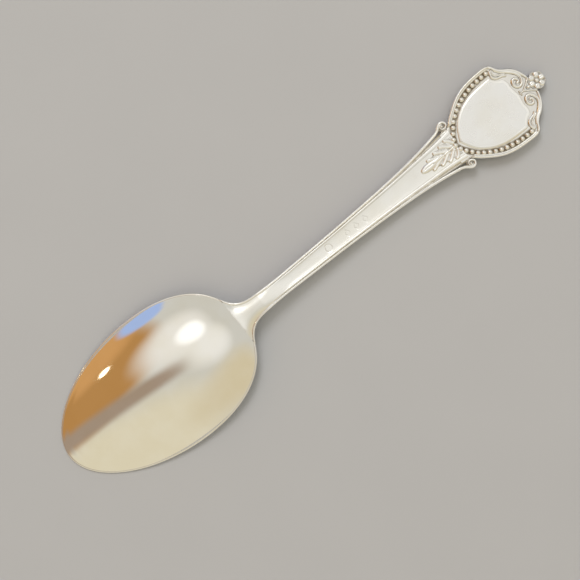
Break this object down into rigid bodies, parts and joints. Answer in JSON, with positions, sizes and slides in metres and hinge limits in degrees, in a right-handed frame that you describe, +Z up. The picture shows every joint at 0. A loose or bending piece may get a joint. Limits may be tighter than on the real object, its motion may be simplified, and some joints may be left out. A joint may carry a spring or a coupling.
{
  "type": "souvenir spoon",
  "caption": "Silver-plated souvenir spoon lying face down, with an egg-shaped bowl, a tapered stem with edge wires, and a beaded shield finial with scrolls and a rosette.",
  "frame": {"origin": "bottom centre of the bounding box, on the surface the spoon lies on face down", "axes": "+X from the bowl's tip to the rosette, +Z up out of the spoon's back, +Y to the spoon's left seen from above with the rosette ahead"},
  "size_m": [0.14, 0.0324, 0.0085],
  "materials": {
    "polished_silver": "mirror-polished silver plate, slightly warm",
    "satin_silver": "bright satin silver plate with fine wear",
    "bright_wire": "silver plate polished bright on raised edges",
    "ornament_silver": "die-struck silver plate, dark tarnish in the recesses",
    "panel_silver": "smooth satin silver plate"
  },
  "bodies": {
    "root": {"bowl": "polished_silver", "stem": "satin_silver", "thread_left": "bright_wire", "thread_right": "bright_wire", "shoulder_scroll_left": "ornament_silver", "shoulder_scroll_right": "ornament_silver", "leaf_back": "ornament_silver", "leaf_front": "ornament_silver", "shield_plate": "ornament_silver", "rim_left": "bright_wire", "rim_right": "bright_wire", "bead_row_back": "ornament_silver", "bead_row_front": "ornament_silver", "panel_bezel_back": "bright_wire", "panel_bezel_front": "bright_wire", "panel_back": "panel_silver", "panel_front": "panel_silver", "crest_scroll_left": "ornament_silver", "crest_scroll_right": "ornament_silver", "corner_leaf_left": "ornament_silver", "corner_leaf_right": "ornament_silver", "calyx": "ornament_silver", "rosette": "ornament_silver", "rosette_boss": "ornament_silver"}
  },
  "joints": []
}
